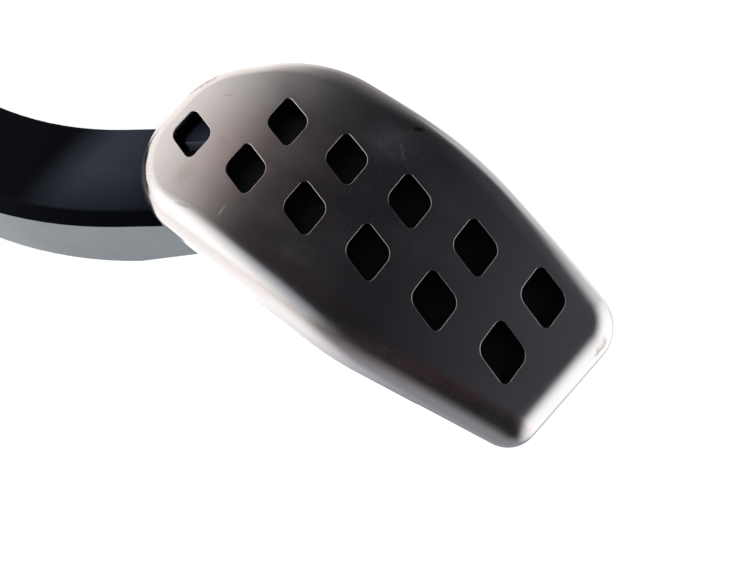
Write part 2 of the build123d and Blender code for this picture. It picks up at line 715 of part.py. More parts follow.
def make_sensor_cover():
    case = slab(RectangleRounded(CASE_SQUARE, CASE_SQUARE, CASE_CORNER), 0, CASE_FLANGE)
    cup = slab(Circle(CASE_RADIUS), 0, CASE_DEEP)
    cup = fillet(cup.edges().sort_by(Axis.Z)[-1], EDGE_ROUND)
    socket = upright(RectangleRounded(SOCKET_WIDE, SOCKET_DEEP, SOCKET_ROUND), 0, SOCKET_TOP)
    case += cup + socket
    case -= slab(Circle(CASE_RADIUS - CASE_WALL), 0, CASE_DEEP - CASE_WALL)
    mouth_wide = SOCKET_WIDE - 2 * SOCKET_WALL
    mouth_deep = SOCKET_DEEP - 2 * SOCKET_WALL
    mouth = RectangleRounded(mouth_wide, mouth_deep, SOCKET_ROUND - SOCKET_WALL)
    case -= upright(mouth, SOCKET_FLOOR, SOCKET_TOP)
    groove = Circle(SEAL_INNER + SEAL_WIDE) - Circle(SEAL_INNER)
    case -= slab(groove, 0, SEAL_DEEP)
    for spot in board_spots():
        case += Pos(*spot) * slab(Circle(POST_RADIUS), BOARD_FACE + BOARD_THICK, CASE_DEEP - CASE_WALL)
    for spot in case_screw_spots():
        case -= Pos(*spot) * slab(Circle(SCREW / 2 + SCREW_CLEAR), 0, CASE_FLANGE)
    step = SOCKET_TOP - 2 * LATCH_TALL
    nose = (step, CASE_DEEP + LATCH_OUT)
    ramp = Polyline((step, CASE_DEEP), nose, (step + LATCH_TALL, CASE_DEEP), close=True)
    case += extrude(ACROSS * make_face(ramp), amount=LATCH_WIDE / 2, both=True)
    for pin in make_pins():
        case -= pin
    return case


def make_cover_seal():
    return slab(Circle(SEAL_INNER + SEAL_WIDE) - Circle(SEAL_INNER), 0, SEAL_DEEP)


def make_cover_screws():
    screws = []
    for spot in case_screw_spots():
        screws.append(Pos(*spot, CASE_FLANGE) * screw(CASE_FLANGE + WALL - SCREW_CLEAR))
    return screws


def make_magnet_holder():
    end = HOLDER_GAP + HOLDER_LONG
    holder = slab(Circle(HOLDER_RADIUS), HOLDER_GAP, end)
    holder -= slab(Circle(SHAFT_RADIUS), HOLDER_GAP, SHAFT_END)
    return holder - slab(Circle(MAGNET_RADIUS), end - MAGNET_THICK, end)


def make_magnet():
    end = HOLDER_GAP + HOLDER_LONG
    return slab(Circle(MAGNET_RADIUS), end - MAGNET_THICK, end)


def make_board():
    return slab(RectangleRounded(BOARD_WIDE, BOARD_TALL, BOARD_CORNER), BOARD_FACE, BOARD_FACE + BOARD_THICK)


def make_chip():
    return slab(Rectangle(CHIP_WIDE, CHIP_TALL), CHIP_FACE, BOARD_FACE)


def group(place, shapes):
    """Like pieces set in place as one node."""
    return Compound([(place * shape).solid() for shape in shapes])


spring = make_spring()
bush = Pos(PIVOT) * make_bush()

pieces = {
    "housing": make_housing(),
    "mounting_sleeves": group(Location(), make_mounting_sleeves()),
    "bush_right": bush,
    "bush_left": mirror(bush, Plane.YZ),
    "friction_shoe": REST * make_shoe(),
    "idle_bumper": REST * make_idle_bumper(),
    "full_stop_bumper": PRESSED * make_full_stop_bumper(),
    "sensor_cover": CASE * make_sensor_cover(),
    "cover_seal": CASE * make_cover_seal(),
    "cover_screws": group(CASE, make_cover_screws()),
    "sensor_board": CASE * make_board(),
    "hall_sensor": CASE * make_chip(),
    "connector_pins": group(CASE, make_pins()),
    "pedal_arm": REST * make_pedal_arm(),
    "pivot_shaft": Pos(PIVOT) * make_pivot_shaft(),
    "shaft_clip": Pos(PIVOT) * make_shaft_clip(),
    "return_spring_right": REST * spring,
    "return_spring_left": REST * mirror(spring, Plane.YZ),
    "magnet_holder": CASE * make_magnet_holder(),
    "sensor_magnet": CASE * make_magnet(),
    "pad_carrier": REST * PAD * make_pad_carrier(),
    "pad_cover": REST * PAD * make_pad_cover(),
    "pad_screws": group(REST * PAD, make_pad_screws()),
}

os.makedirs("parts", exist_ok=True)
for name, shape in pieces.items():
    export_step(shape, f"parts/{name}.step")
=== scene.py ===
import json
from math import acos, atan2, ceil, cos, pi, radians, sin, sqrt, tan

import bpy
from mathutils import Euler, Matrix, Vector
from mathutils.geometry import delaunay_2d_cdt
from mathutils.kdtree import KDTree


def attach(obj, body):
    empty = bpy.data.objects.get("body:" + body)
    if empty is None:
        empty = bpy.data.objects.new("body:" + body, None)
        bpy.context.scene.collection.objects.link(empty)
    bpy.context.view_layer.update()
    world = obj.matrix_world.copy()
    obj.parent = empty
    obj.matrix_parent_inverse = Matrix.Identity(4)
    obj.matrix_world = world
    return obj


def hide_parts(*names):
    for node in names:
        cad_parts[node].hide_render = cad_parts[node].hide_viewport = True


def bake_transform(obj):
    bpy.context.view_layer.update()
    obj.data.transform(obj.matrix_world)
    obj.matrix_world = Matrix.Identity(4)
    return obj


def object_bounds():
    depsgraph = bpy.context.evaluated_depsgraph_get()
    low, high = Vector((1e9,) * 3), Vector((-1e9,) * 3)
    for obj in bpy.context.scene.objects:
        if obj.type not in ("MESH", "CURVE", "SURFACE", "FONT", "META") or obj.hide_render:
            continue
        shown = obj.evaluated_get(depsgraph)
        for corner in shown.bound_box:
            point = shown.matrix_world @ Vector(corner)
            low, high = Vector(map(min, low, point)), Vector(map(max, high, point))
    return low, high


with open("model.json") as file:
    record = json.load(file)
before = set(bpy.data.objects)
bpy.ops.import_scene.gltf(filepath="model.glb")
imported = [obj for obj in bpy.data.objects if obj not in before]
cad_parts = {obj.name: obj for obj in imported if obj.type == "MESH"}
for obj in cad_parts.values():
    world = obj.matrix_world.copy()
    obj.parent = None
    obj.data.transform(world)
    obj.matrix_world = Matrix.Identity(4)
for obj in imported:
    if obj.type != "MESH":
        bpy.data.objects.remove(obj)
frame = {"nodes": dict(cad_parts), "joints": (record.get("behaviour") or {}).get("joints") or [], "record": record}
cad_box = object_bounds()
nodes = frame["nodes"]

# Lengths are metres in the row frame unless a name or a comment says millimetres.
MM = 0.001

# The pedal's axes start at the hinge: x to the driver's right, y up the arm, z to the driver.
# The pad's axes are turned the same way and start at the middle of the pad's face.
HINGE = Vector(frame["joints"][0]["pos_m"])
PEDAL_TILT = radians(55.0)
PEDAL_TURN = Euler((PEDAL_TILT, 0.0, 0.0)).to_matrix()
PAD_CENTRE_MM = Vector((43.06, -175.11, 24.0))
PAD_CENTRE = HINGE + PEDAL_TURN @ (PAD_CENTRE_MM * MM)
UP = Vector((0.0, 0.0, 1.0))

# Camera, in the pad's axes
CAMERA_FROM_MM = Vector((-50.54, -43.19, 158.24))
CAMERA_RIGHT = Vector((0.6121, -0.7898, -0.0389))
CAMERA_UP = Vector((0.7560, 0.5701, 0.3218))
CAMERA_BACK = Vector((-0.2320, -0.2264, 0.9460))
SENSOR_MM = 36.0
FOCAL_PIXELS = 800.0
IMAGE_WIDE = 750.0
NEAREST_SEEN = 0.01

# Studio
FLOOR_BELOW = 0.20
FLOOR_HALF = 6.0
FLOOR_SHADES = (0.92, 0.95)
ROOM_LIGHT = 1.2
DARK_ROOM = (0.021, 0.021, 0.026)
# Soft panels that shiny faces mirror: the direction of each, the cosines of the angles off it where
# its light starts and where it is full, and its light
STUDIO_PANELS = {
    "grey wall ahead": ((-0.26, 0.965, 0.04), -0.50, 0.16, (0.240, 0.229, 0.234)),
    "bright panel ahead and above": ((-0.29, 0.73, 0.62), 0.31, 0.69, (1.17, 1.13, 1.11)),
    "cool panel overhead": ((-0.55, -0.10, 0.83), 0.84, 0.98, (0.44, 0.49, 0.55)),
    "bright panel below, on the right": ((0.50, -0.35, -0.79), 0.47, 0.97, (1.58, 1.62, 1.66)),
    "dim fill behind, on the right": ((0.60, -0.78, -0.18), 0.52, 1.0, (0.062, 0.065, 0.077)),
    "blue fill ahead, low on the left": ((-0.60, 0.67, -0.43), 0.36, 0.88, (0.080, 0.095, 0.140)),
    "narrow panel on the right": ((0.99, 0.13, 0.0), 0.95, 0.997, (0.55, 0.57, 0.60)),
    "dim panel ahead, on the right": ((0.73, 0.64, 0.26), 0.955, 0.99, (0.16, 0.16, 0.155)),
    "narrow panel ahead, low on the right": ((0.78, 0.53, -0.33), 0.92, 0.975, (0.60, 0.62, 0.65)),
}

# Return springs
WIRE_RADIUS = 1.0 * MM
COIL_RADIUS = 11.05 * MM
COIL_OUTER = 19.0 * MM
COIL_PITCH = 2.4 * MM
COILS = 2
COIL_INNER = COIL_OUTER - COILS * COIL_PITCH
FIXED_LEG = 20.0 * MM
MOVING_LEG = 21.0 * MM
WIRE_SIDES = 20
COIL_STEPS = 72
END_SLACK = 1.05
WELD = 0.01 * MM
SMOOTH_BELOW = radians(50.0)

# Pad pressing, millimetres in the pad's axes: each corner's x, y and round
PAD_CORNERS = (
    (-27.4, 63.5, 20.0),
    (-28.6, -5.0, 80.0),
    (-21.5, -49.3, 7.0),
    (15.2, -52.8, 10.0),
    (28.0, -2.0, 120.0),
    (28.3, 40.4, 36.0),
    (9.4, 63.5, 20.0),
)
FACE_RADIUS = 255.0
CROWN_RADIUS = 900.9
PAD_DEPTH = 14.0
SHEET = 1.0
SKIRT_END = 12.8
# The rim is one round at the top of the pad; from SOFT_FROM down to SOFT_FULL it comes to start softer
PAD_ROLL = 5.5
ROLL_TIGHTER = 0.5
ROLL_SOFTER = 0.8
SOFT_FROM = 52.0
SOFT_FULL = 36.0
# Two columns of leaning holes
HOLE_PITCH = 17.5
HOLE_ROWS = (-2, -1, 0, 1, 2, 3)
COLUMN_GAP = 14.75
HOLE_WIDE = 8.6
HOLE_TALL = 9.25
HOLE_LEAN = radians(17.0)
HOLE_ROUNDS = (1.3, 3.3, 1.3, 3.3)
# A hole's lip is rounder on its left side low on the pad and on its right side high up
HOLE_LIP = 0.13
LIP_LEAN = 0.32
LIP_LEAN_RISE = 0.0155
# Clinch tabs: their fold, and where they lie along the sides, the top and the foot
TAB_REACH = 6.0
TAB_FOLD = 0.7
TAB_LAP = 1.0
SIDE_TABS = (-27.0, 17.0)
TOP_TAB = (-18.0, 0.0)
FOOT_TAB = (-9.0, 9.0)
END_TABS_BEYOND = 40.0
# How finely the pressing is drawn
FACE_STEP = 2.0
FACE_ROWS = range(-28, 36)
FACE_COLUMNS = range(-17, 18)
ROW_SPACING = 0.87
CLEAR_OF_EDGE = 0.6
RIM_STEP = 1.0
HOLE_STEP = 0.7
ROLL_STEPS = 14
LIP_STEPS = 6
FOLD_STEPS = 6
CORNER_PARTS = 6
RIM_TRIES = 8
LIP_TRIES = 4
INSIDE_ONLY = 1
SAME_SPOT = 1e-6

# Marks on the steel, with painted light among them, millimetres in the pad's axes: middle, half size, turn in
# degrees, colour, raggedness and strength
PAD_MARKS_AND_PAINTED_LIGHT = {
    # Painted highlight: a pale sheen on the steel
    "painted sheen on the right": ((17.0, 11.0, -0.6), (7.0, 13.0, 6.0), 10.0, (0.90, 0.90, 0.93), 0.2, 0.3),
    "dark nick on the right": ((22.7, 9.2, -0.5), (1.3, 2.2, 6.0), 20.0, (0.01, 0.01, 0.012), 1.2, 0.9),
    "brown smudge": ((-5.7, 43.6, -3.8), (2.4, 3.4, 6.0), -35.0, (0.30, 0.21, 0.16), 1.4, 0.5),
    "faint smudge": ((-15.9, 46.4, -4.4), (4.5, 3.0, 6.0), 10.0, (0.42, 0.33, 0.28), 1.6, 0.3),
    "fine scratch at the top": ((5.5, 52.4, -5.4), (2.6, 0.35, 6.0), -71.0, (0.30, 0.28, 0.26), 0.6, 0.3),
    "pale scratch on the left": ((-18.4, 32.4, -2.2), (2.4, 0.4, 6.0), 6.0, (0.85, 0.84, 0.82), 0.6, 0.6),
    "rub on the left edge": ((-22.4, 40.8, -3.5), (0.5, 3.2, 6.0), 12.0, (0.34, 0.31, 0.29), 0.8, 0.5),
    "pale scratch on the right": ((15.9, 8.4, -0.3), (3.4, 0.4, 6.0), 47.0, (0.80, 0.80, 0.82), 0.8, 0.35),
    "dirt along the top edge": ((4.5, 60.8, -7.3), (7.0, 1.2, 6.0), -20.0, (0.22, 0.19, 0.17), 2.2, 0.6),
    "brown stain at the foot": ((6.0, -51.5, -6.0), (4.4, 1.8, 1.6), 14.0, (0.20, 0.11, 0.055), 1.2, 0.9),
    "pale stain at the foot": ((0.6, -51.7, -4.8), (3.4, 1.8, 0.9), 14.0, (0.26, 0.16, 0.09), 1.2, 0.85),
    # Painted reflection: a smooth reddish band along the lower left edge where the rim starts to roll
    "painted reddish reflection, lower left": ((-20.3, -25.0, -4.0), (2.3, 30.0, 30.0), 9.6, (0.52, 0.24, 0.20), 0.04, 0.6),
}
PATCH_DULLS = 0.2
# Painted warm reflection on the steel, given as the marks are; it tints and doesn't dull
PAD_PAINTED_REFLECTION_TINTS = {
    "painted warm reflection, upper face": ((-5.0, 31.0, -2.0), (22.0, 30.0, 30.0), 0.0, (0.61, 0.51, 0.49), 0.0, 0.8),
    "painted warm reflection, left": ((-20.3, 8.0, -2.0), (3.2, 32.0, 30.0), 0.0, (0.60, 0.43, 0.41), 0.0, 0.6),
}
STEEL = (0.62, 0.595, 0.575)
SMEAR_STRETCH = (0.12, 0.035, 0.1)
SMEAR_RANGE = (0.35, 0.7)

# Painted shade on the walls of the lower holes, millimetres in the pad's axes. Here and below, a fade is a pair:
# the value at which an effect starts and the one at which it is full.
HOLE_SHADE_LEVEL_FADE = (-0.12, -0.3)
HOLE_SHADE_ACROSS_FADE = (13.5, 13.2)
HOLE_SHADE_HEIGHT_FADE = (28.0, 0.0)
HOLE_SHADE_FOOT_FADE = (-40.3, -39.9)
HOLE_SHADE_MOST = 0.92
HOLE_WALL_SHADE = (0.03, 0.03, 0.034)

# Arm, millimetres in the pedal's axes; its middle line bends away below a height
ARM_BEND_FROM = -56.0
ARM_BEND_ACROSS = 180.0
ARM_BLACK = (0.012, 0.0125, 0.0135)
# Painted shade: the lower front of the arm is made blacker than the rest
ARM_PAINTED_SHADE_BLACK = (0.0017, 0.0023, 0.0036)
ARM_SHADE_FRONT_FADE = (4.0, 7.0)
ARM_SHADE_HEIGHT_FADE = (-42.0, -74.0)
# Painted sheen: a paler bluish colour on the arm's front near the pad
ARM_PAINTED_SHEEN = (0.029, 0.034, 0.048)
SHEEN_HEIGHT_FADE = (-93.0, -105.0)
SHEEN_FOOT_FADE = (-125.0, -106.0)
SHEEN_ACROSS = (-3.0, 9.0)
SHEEN_FRONT_FADE = (9.6, 9.9)
# Painted reflection: light grey down the arm's outer side, mottled, fading higher up
ARM_PAINTED_SIDE_REFLECTION = (0.245, 0.265, 0.283)
SIDE_REFLECTION_ACROSS_FADE = (5.0, 6.0)
SIDE_REFLECTION_FACING_FADE = (-0.5, -0.62)
SIDE_REFLECTION_HEIGHT_FADE = (-20.0, -50.0)
SIDE_REFLECTION_LEAST = 0.08
SIDE_REFLECTION_RAGGED = 20.0
SIDE_REFLECTION_DULLS = 0.08
MOTTLE_STRETCH = (0.05, 0.02, 0.05)

# Carrier, millimetres in the pad's axes: painted light on the floor and one wall of the pocket under the
# first hole, up to a line across the floor and a line beside it
CARRIER_BLACK = (0.0009, 0.0013, 0.0024)
# Painted light: paler colours for the lit floor and wall of the pocket under the first hole
CARRIER_LIT_FLOOR = (0.014, 0.020, 0.038)
CARRIER_LIT_WALL = (0.26, 0.30, 0.38)
LIT_HEIGHT_FADE = (40.0, 52.0)
LIT_TOP_FADE = (56.0, 55.3)
POCKET_ALONG = (-0.57, 0.82, 0.0)
POCKET_ALONG_FADE = (50.2, 49.5)
POCKET_OUT = (-0.82, -0.57, 0.0)
POCKET_WALL_FADE = (-23.95, -23.88)

# Mouldings and rubbers: name, colour, roughness, grains to a metre, grain depth and dust
MOULDED = {
    "bracket_plastic": ("grained black bracket", (0.012, 0.012, 0.013), 0.52, 1500.0, 0.00009, 0.18),
    "case_plastic": ("black sensor case", (0.016, 0.016, 0.017), 0.42, 1900.0, 0.00006, 0.2),
    "bush_plastic": ("natural bearing plastic", (0.6, 0.58, 0.5), 0.4, 1800.0, 0.00003, 0.1),
    "stop_rubber": ("black stop rubber", (0.016, 0.016, 0.016), 0.75, 1300.0, 0.0001, 0.3),
    "seal_rubber": ("red seal rubber", (0.24, 0.05, 0.03), 0.6, 1300.0, 0.00005, 0.1),
    "chip_plastic": ("black chip", (0.014, 0.014, 0.015), 0.5, 3000.0, 0.00003, 0.05),
}
# Metals: name, colour, roughness, lines to a metre, and how the lines are turned
ALONG_DEPTH = (0.0, 0.0, 0.0)
ALONG_WIDTH = (0.0, 0.0, radians(90.0))
ALONG_HEIGHT = (radians(90.0), 0.0, 0.0)
WORKED = {
    "zinc_steel": ("zinc plated steel", (0.62, 0.63, 0.64), 0.32, 900.0, ALONG_DEPTH),
    "shaft_steel": ("ground shaft steel", (0.56, 0.56, 0.57), 0.22, 3000.0, ALONG_DEPTH),
    "spring_steel": ("oiled spring steel", (0.3, 0.3, 0.31), 0.3, 2000.0, ALONG_WIDTH),
    "pin_metal": ("tinned pins", (0.74, 0.68, 0.52), 0.25, 2500.0, ALONG_HEIGHT),
    "magnet_ferrite": ("sintered magnet", (0.14, 0.14, 0.15), 0.48, 1200.0, ALONG_DEPTH),
}
DUST_GREY = (0.32, 0.31, 0.29)
DUST_DULLS = 0.3
DULL_SPECKS = (0.25, 0.22, 0.2)
SPECKS_DULL = 0.2
SPECK_FADE = (0.62, 0.72)
BOARD_GREENS = ((0.02, 0.13, 0.06), (0.025, 0.15, 0.07))
BOARD_RUNS = (0.06, 0.27, 0.13)
BOARD_WEAVE = (0.01, 0.08, 0.04)

# Scales and ranges of noise
CLOUD_RANGE = (0.3, 0.7)
FINE_RANGE = (0.35, 0.65)
MOULD_CLOUDS = 55.0
MOULD_FLOW = (30.0, 180.0, 30.0)
METAL_CLOUDS = 60.0
LINE_STRETCH = (1.0, 0.02, 1.0)
LINES_SHINE = 0.7
PATCH_BREAKUP = 0.9
PATCH_FADE = (1.0, 0.25)
DUST_PATCHES = 700.0
DUST_RANGE = (0.38, 0.75)
DUST_FACING_FADE = (0.1, 0.95)
SPECKS = 900.0
BOARD_THREADS = 2500.0
WEAVE_RANGE = (0.4, 0.6)
FLOOR_CLOUDS = 3.0

# Sockets of the colour mix node
MIX_AMOUNT = 0
MIX_FIRST = 6
MIX_SECOND = 7
MIX_RESULT = 2


def feed(tree, socket, value):
    """Links an input to a socket, or sets it to any other value."""
    if isinstance(value, bpy.types.NodeSocket):
        tree.links.new(value, socket)
    else:
        socket.default_value = value


def add(tree, kind, inputs=None, **settings):
    """New shader node with its settings made and its inputs fed."""
    node = tree.nodes.new(kind)
    for name, value in settings.items():
        setattr(node, name, value)
    for name, value in (inputs or {}).items():
        feed(tree, node.inputs[name], value)
    return node


def noise(tree, vector, scale=1.0, detail=4.0, rough=0.55):
    """Noise value over a vector."""
    inputs = {"Vector": vector, "Scale": scale, "Detail": detail, "Roughness": rough}
    return add(tree, "ShaderNodeTexNoise", inputs).outputs["Fac"]


def stretch(tree, vector, scale):
    """Vector scaled apart along its axes."""
    return add(tree, "ShaderNodeMapping", {"Vector": vector, "Scale": scale}).outputs["Vector"]


def remap(tree, value, low, high, to_low=0.0, to_high=1.0, smooth=False):
    """Value carried from one range to another and clamped there."""
    inputs = {"Value": value, "From Min": low, "From Max": high, "To Min": to_low, "To Max": to_high}
    kind = "SMOOTHSTEP" if smooth else "LINEAR"
    return add(tree, "ShaderNodeMapRange", inputs, interpolation_type=kind).outputs["Result"]


def maths(tree, operation, first, second=0.0):
    """One sum on two values."""
    return add(tree, "ShaderNodeMath", {0: first, 1: second}, operation=operation).outputs[0]


def product(tree, first, *others):
    """Values multiplied together."""
    for other in others:
        first = maths(tree, "MULTIPLY", first, other)
    return first


def vectors(tree, operation, first, second):
    """One sum on two vectors; gives the node's outputs."""
    return add(tree, "ShaderNodeVectorMath", {0: first, 1: second}, operation=operation).outputs


def scaled(tree, vector, amount):
    """Vector or colour times a value."""
    inputs = {0: vector, "Scale": amount}
    return add(tree, "ShaderNodeVectorMath", inputs, operation="SCALE").outputs["Vector"]


def split(tree, vector):
    """X, Y and Z of a vector."""
    return add(tree, "ShaderNodeSeparateXYZ", {"Vector": vector}).outputs


def opaque(colour):
    """Colour with its alpha."""
    return (*colour, 1.0)


def blend_colours(tree, amount, first, second):
    """Colour between two others."""
    node = add(tree, "ShaderNodeMix", data_type="RGBA")
    feed(tree, node.inputs[MIX_AMOUNT], amount)
    feed(tree, node.inputs[MIX_FIRST], first)
    feed(tree, node.inputs[MIX_SECOND], second)
    return node.outputs[MIX_RESULT]


def new_group(name, inputs, outputs):
    """Empty node group with named sockets; gives the group, what it is given and what it puts out."""
    group = bpy.data.node_groups.new(name, "ShaderNodeTree")
    for label, kind in inputs.items():
        group.interface.new_socket(label, in_out="INPUT", socket_type="NodeSocket" + kind)
    for label, kind in outputs.items():
        group.interface.new_socket(label, in_out="OUTPUT", socket_type="NodeSocket" + kind)
    return group, group.nodes.new("NodeGroupInput").outputs, group.nodes.new("NodeGroupOutput").inputs


def moulded_grain_group():
    """Spark-eroded mould grain: fine pits, and a broad change of shade and gloss."""
    ins = {"Vector": "Vector", "Color": "Color", "Grain": "Float", "Roughness": "Float"}
    outs = {"Color": "Color", "Roughness": "Float", "Height": "Float"}
    group, given, out = new_group("moulded grain", ins, outs)
    pits = noise(group, given["Vector"], given["Grain"], detail=3.0)
    broad = noise(group, given["Vector"], MOULD_CLOUDS, detail=5.0)
    flow = noise(group, stretch(group, given["Vector"], MOULD_FLOW), detail=3.0)
    broad_shade = remap(group, broad, *CLOUD_RANGE, to_low=0.78, to_high=1.12)
    flow_shade = remap(group, flow, *FINE_RANGE, to_low=-0.06, to_high=0.06)
    shade = maths(group, "ADD", broad_shade, flow_shade)
    feed(group, out["Color"], scaled(group, given["Color"], shade))
    broad_gloss = remap(group, broad, *CLOUD_RANGE, to_low=0.05, to_high=-0.05)
    pit_gloss = remap(group, pits, *FINE_RANGE, to_low=0.04, to_high=-0.04)
    gloss = maths(group, "ADD", given["Roughness"], broad_gloss)
    feed(group, out["Roughness"], maths(group, "ADD", gloss, pit_gloss))
    feed(group, out["Height"], pits)
    return group


def drawn_metal_group():
    """Metal with lines left by brushing, drawing or turning along the vector's y axis."""
    ins = {"Vector": "Vector", "Color": "Color", "Lines": "Float", "Roughness": "Float", "Contrast": "Float"}
    outs = {"Color": "Color", "Roughness": "Float", "Height": "Float"}
    group, given, out = new_group("drawn metal", ins, outs)
    across = scaled(group, given["Vector"], given["Lines"])
    lines = noise(group, stretch(group, across, LINE_STRETCH), detail=5.0, rough=0.6)
    cloud = noise(group, given["Vector"], METAL_CLOUDS)
    ridge = product(group, remap(group, lines, *CLOUD_RANGE, to_low=-0.07, to_high=0.05), given["Contrast"])
    cloud_shade = remap(group, cloud, *CLOUD_RANGE, to_low=-0.04, to_high=0.04)
    shade = maths(group, "ADD", maths(group, "ADD", ridge, 1.0), cloud_shade)
    feed(group, out["Color"], scaled(group, given["Color"], shade))
    cloud_gloss = remap(group, cloud, *CLOUD_RANGE, to_low=-0.04, to_high=0.05)
    gloss = maths(group, "SUBTRACT", given["Roughness"], product(group, ridge, LINES_SHINE))
    feed(group, out["Roughness"], maths(group, "ADD", gloss, cloud_gloss))
    feed(group, out["Height"], lines)
    return group


def soft_patch_group():
    """Mask of one ragged mark, turned about the vector's z axis: full in its middle, gone at its size."""
    ins = {"Vector": "Vector", "Centre": "Vector", "Size": "Vector", "Turn": "Float", "Raggedness": "Float"}
    group, given, out = new_group("soft patch", ins, {"Mask": "Float"})
    inputs = {"Vector": given["Vector"], "Center": given["Centre"], "Angle": given["Turn"]}
    turned = add(group, "ShaderNodeVectorRotate", inputs, rotation_type="Z_AXIS").outputs["Vector"]
    away = vectors(group, "SUBTRACT", turned, given["Centre"])["Vector"]
    near = vectors(group, "DIVIDE", away, given["Size"])["Vector"]
    length = add(group, "ShaderNodeVectorMath", {0: near}, operation="LENGTH").outputs["Value"]
    breakup = noise(group, given["Vector"], PATCH_BREAKUP, rough=0.65)
    ragged = product(group, maths(group, "SUBTRACT", breakup, 0.5), given["Raggedness"])
    reach = maths(group, "ADD", length, ragged)
    feed(group, out["Mask"], remap(group, reach, *PATCH_FADE, smooth=True))
    return group


def settled_dust_group():
    """Mask of dust that lies on faces turned up and in patches."""
    group, given, out = new_group("settled dust", {"Vector": "Vector", "Amount": "Float"}, {"Mask": "Float"})
    normal = add(group, "ShaderNodeNewGeometry").outputs["Normal"]
    facing = remap(group, split(group, normal)["Z"], *DUST_FACING_FADE)
    patches = remap(group, noise(group, given["Vector"], DUST_PATCHES, detail=6.0, rough=0.7), *DUST_RANGE)
    feed(group, out["Mask"], product(group, facing, patches, given["Amount"]))
    return group


GRAIN = moulded_grain_group()
DRAWN = drawn_metal_group()
PATCH = soft_patch_group()
DUST = settled_dust_group()


def use(tree, group, **inputs):
    """Outputs of a node group placed in a material."""
    node = tree.nodes.new("ShaderNodeGroup")
    node.node_tree = group
    for name, value in inputs.items():
        feed(tree, node.inputs[name], value)
    return node.outputs


def new_material(name):
    """Empty material; gives the material, its tree, its shader and the object coordinates."""
    material = bpy.data.materials.new(name)
    material.use_nodes = True
    tree = material.node_tree
    shader = tree.nodes["Principled BSDF"]
    return material, tree, shader, add(tree, "ShaderNodeTexCoord").outputs["Object"]


def finish_with(tree, shader, colour, gloss):
    """Colour and roughness led to the shader."""
    feed(tree, shader.inputs["Base Color"], colour)
    feed(tree, shader.inputs["Roughness"], gloss)


def turned_space(tree, vector, place, turn, size=1.0):
    """Vector in a frame at a place, turned, with lengths divided by a size."""
    inputs = {"Vector": vector, "Location": place, "Rotation": turn, "Scale": (size, size, size)}
    return add(tree, "ShaderNodeMapping", inputs, vector_type="TEXTURE").outputs["Vector"]


def pedal_space(tree, vector, start):
    """Millimetres in the pedal's axes from a starting point."""
    return turned_space(tree, vector, start, (PEDAL_TILT, 0.0, 0.0), MM)


def bump(tree, shader, height, strength, distance):
    """Height on the shader's normal."""
    node = add(tree, "ShaderNodeBump", {"Height": height, "Strength": strength, "Distance": distance})
    feed(tree, shader.inputs["Normal"], node.outputs["Normal"])


def moulded_plastic(name, colour, roughness, grain, depth, dust):
    """Black or natural moulding with mould grain and a little dust."""
    material, tree, shader, place = new_material(name)
    face = use(tree, GRAIN, Vector=place, Color=opaque(colour), Grain=grain, Roughness=roughness)
    lying = use(tree, DUST, Vector=place, Amount=dust)["Mask"]
    dusty = blend_colours(tree, lying, face["Color"], opaque(DUST_GREY))
    gloss = maths(tree, "ADD", face["Roughness"], product(tree, lying, DUST_DULLS))
    finish_with(tree, shader, dusty, gloss)
    bump(tree, shader, face["Height"], strength=0.25, distance=depth)
    return material


def worked_metal(name, colour, roughness, lines, turn):
    """Drawn, turned or plated metal with dulled specks."""
    material, tree, shader, place = new_material(name)
    along = turned_space(tree, place, HINGE, turn)
    bright = opaque(colour)
    face = use(tree, DRAWN, Vector=along, Color=bright, Lines=lines, Roughness=roughness, Contrast=1.0)
    dull = remap(tree, noise(tree, place, SPECKS, detail=3.0), *SPECK_FADE)
    specked = blend_colours(tree, dull, face["Color"], opaque(DULL_SPECKS))
    gloss = maths(tree, "ADD", face["Roughness"], product(tree, dull, SPECKS_DULL))
    finish_with(tree, shader, specked, gloss)
    shader.inputs["Metallic"].default_value = 1.0
    bump(tree, shader, face["Height"], strength=0.12, distance=0.00003)
    return material


def patch_mask(tree, pad, centre, size, turn, ragged, strength):
    """Mask of one patch on the pad: a mark, a painted highlight or a painted reflection tint."""
    patch = use(tree, PATCH, Vector=pad, Centre=centre, Size=size, Turn=radians(-turn), Raggedness=ragged)
    return product(tree, patch["Mask"], strength)


def hole_wall_shade(tree, pad):
    """Mask of the painted shade on the walls of the lower holes, found by their depth below the crowned face."""
    spot = split(tree, pad)
    fall_along = product(tree, spot["Y"], spot["Y"], 0.5 / FACE_RADIUS)
    fall_across = product(tree, spot["X"], spot["X"], 0.5 / CROWN_RADIUS)
    level = maths(tree, "ADD", spot["Z"], maths(tree, "ADD", fall_along, fall_across))
    deep = remap(tree, level, *HOLE_SHADE_LEVEL_FADE)
    within = remap(tree, maths(tree, "ABSOLUTE", spot["X"]), *HOLE_SHADE_ACROSS_FADE)
    low = remap(tree, spot["Y"], *HOLE_SHADE_HEIGHT_FADE, to_high=HOLE_SHADE_MOST)
    above_foot = remap(tree, spot["Y"], *HOLE_SHADE_FOOT_FADE)
    return product(tree, deep, within, low, above_foot)


